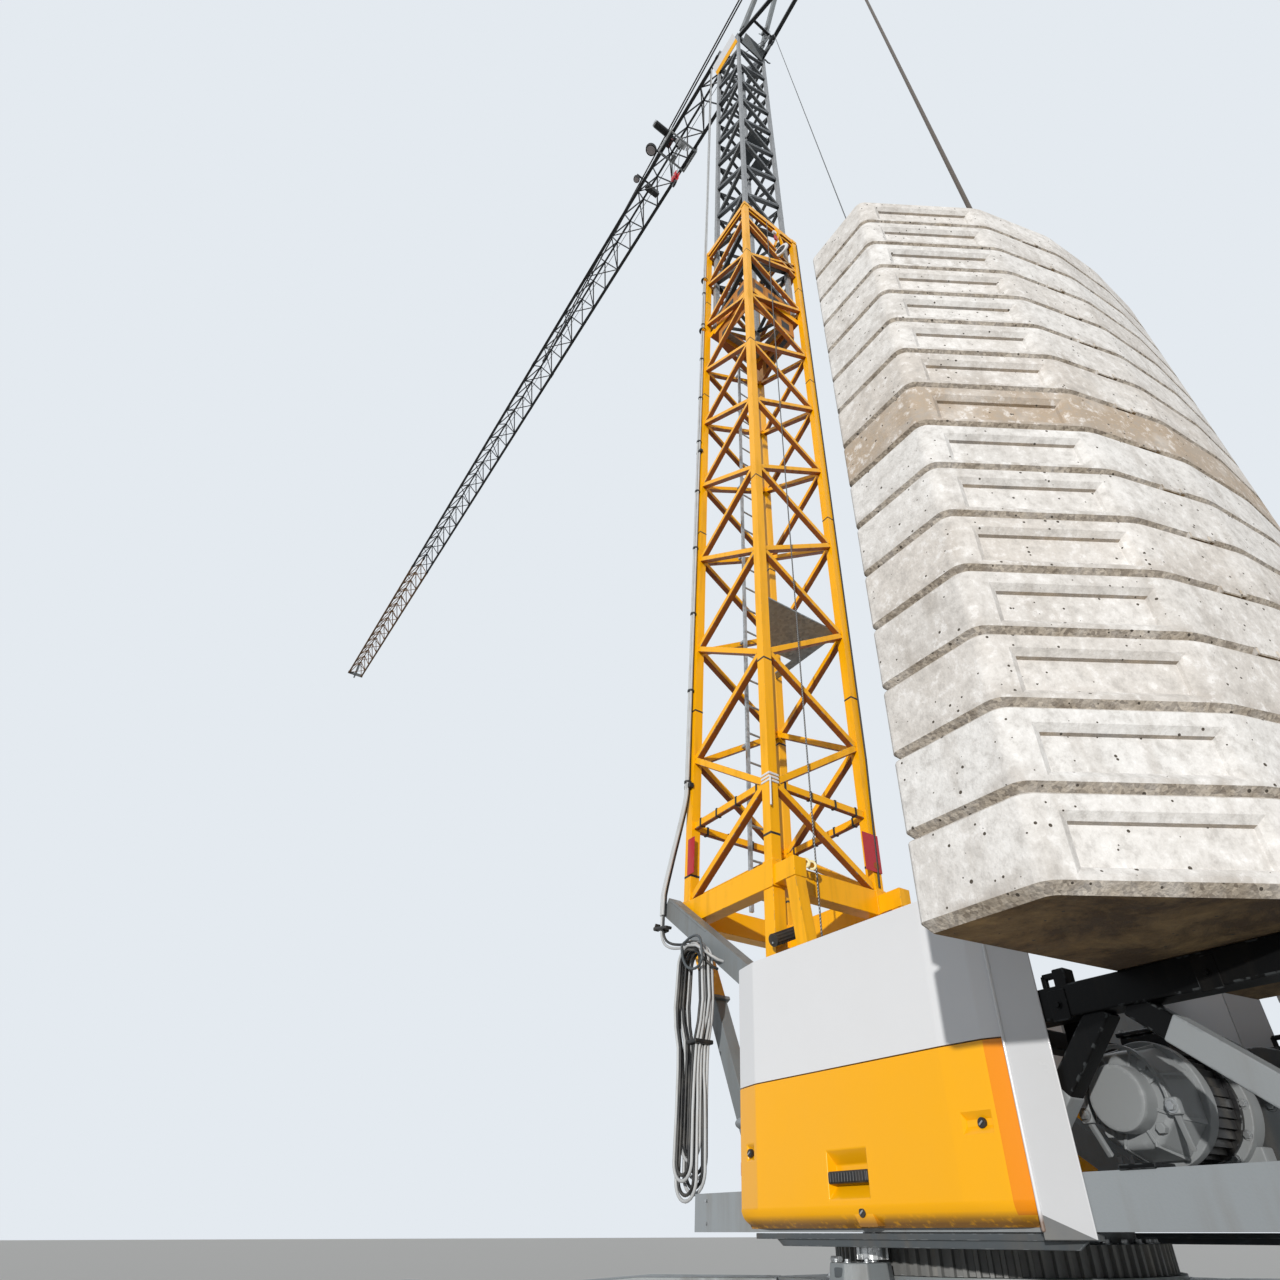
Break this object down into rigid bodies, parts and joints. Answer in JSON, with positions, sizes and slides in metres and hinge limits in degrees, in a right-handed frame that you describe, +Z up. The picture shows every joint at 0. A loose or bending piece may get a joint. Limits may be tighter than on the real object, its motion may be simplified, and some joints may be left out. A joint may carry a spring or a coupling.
{
  "type": "self-erecting tower crane",
  "caption": "Bottom-slewing self-erecting tower crane with telescopic lattice mast, guyed jib, trolley and hook, rear ballast stack and outrigger undercarriage.",
  "frame": {"origin": "on the ground under the slewing axis, midway between the four support feet", "axes": "+X along the jib, +Y to the left when looking along the jib, +Z up"},
  "size_m": [21.2161, 2.3, 15.495],
  "materials": {
    "frame_grey": "grey paint, semi-matt, worn and dusty",
    "arm_grey": "grey paint, semi-matt, worn",
    "foot_steel": "galvanised steel, dull",
    "ring_steel": "greased dark steel",
    "platform_grey": "grey paint, semi-matt, worn and dusty",
    "carrier_black": "black paint, satin",
    "concrete": "cast concrete, matt, stained",
    "cover_yellow": "yellow paint, gloss",
    "cover_white": "white paint, gloss",
    "panel_grey": "light grey paint, gloss",
    "cabinet_grey": "light grey paint, satin",
    "drive_black": "black enamel, satin",
    "motor_grey": "dark grey enamel, satin",
    "drum_steel": "bare and oiled steel",
    "tower_yellow": "yellow paint, semi-gloss, scuffed",
    "strut_grey": "grey paint, satin",
    "mast_grey": "galvanised steel, dull",
    "lacing_dark": "dark grey paint, satin",
    "ladder_steel": "bare aluminium, dull",
    "head_grey": "grey paint, satin",
    "strut_black": "black paint, satin",
    "stay_steel": "steel strand, weathered brown",
    "jib_black": "black paint, satin",
    "jib_brown": "ochre-brown paint, worn",
    "winch_black": "black enamel",
    "lamp_black": "black housing, matt",
    "rope_steel": "steel wire rope, greased",
    "cable_grey": "grey cable sheath, dull",
    "hank_grey": "cable sheaths, grey and black",
    "trolley_grey": "grey paint, worn",
    "hook_red": "red paint, gloss"
  },
  "bodies": {
    "undercarriage": {"undercarriage_frame": "frame_grey", "outrigger_arms": "arm_grey", "support_feet": "foot_steel", "slewing_ring": "ring_steel"},
    "platform": {"platform_frame": "platform_grey", "ballast_carrier": "carrier_black", "ballast_blocks_odd": "concrete", "ballast_blocks_even": "concrete", "cover_lower_left": "cover_yellow", "cover_upper_left": "cover_white", "cover_end_left": "panel_grey", "cover_lower_right": "cover_yellow", "cover_upper_right": "cover_white", "cover_end_right": "panel_grey", "switch_cabinets": "cabinet_grey", "slewing_drive": "drive_black", "hoist_motor": "motor_grey", "tower_foot": "tower_yellow", "foot_struts": "strut_grey", "outer_tower_chords": "tower_yellow", "outer_tower_left": "tower_yellow", "outer_tower_right": "tower_yellow", "outer_tower_front": "tower_yellow", "outer_tower_rear": "tower_yellow", "inner_tower_chords": "mast_grey", "inner_tower_left": "lacing_dark", "inner_tower_right": "lacing_dark", "inner_tower_front": "lacing_dark", "inner_tower_rear": "lacing_dark", "ladder": "ladder_steel", "rest_platform": "ladder_steel", "tower_head": "head_grey", "guy_frame": "strut_grey", "rear_strut": "strut_black", "rear_stay": "stay_steel", "jib_stays": "stay_steel", "jib_inner_section": "jib_black", "jib_middle_section": "jib_black", "jib_outer_section": "jib_brown", "jib_tip": "head_grey", "trolley_winch": "winch_black", "floodlights": "lamp_black", "hoist_rope": "rope_steel", "power_cable": "cable_grey", "cable_hank": "hank_grey"},
    "drum": {"hoist_drum": "drum_steel"},
    "trolley": {"trolley": "trolley_grey", "hook_falls": "rope_steel"},
    "hook": {"hook_block": "hook_red"}
  },
  "joints": [
    {"name": "slewing", "type": "hinge", "parent": "undercarriage", "child": "platform", "pos_m": [0, 0, 0.6], "axis": [0, 0, 1], "continuous": true},
    {"name": "drum_spin", "type": "hinge", "parent": "platform", "child": "drum", "pos_m": [-0.59, 0, 0.823], "axis": [0, 1, 0], "continuous": true},
    {"name": "trolley_travel", "type": "slide", "parent": "platform", "child": "trolley", "axis": [0.9981, 0, 0.061], "range_m": [-1, 17.6]},
    {"name": "hook_hoist", "type": "slide", "parent": "trolley", "child": "hook", "axis": [0, 0, -1], "range_m": [-0.6, 11.4], "deforming": ["hook_falls"]}
  ]
}
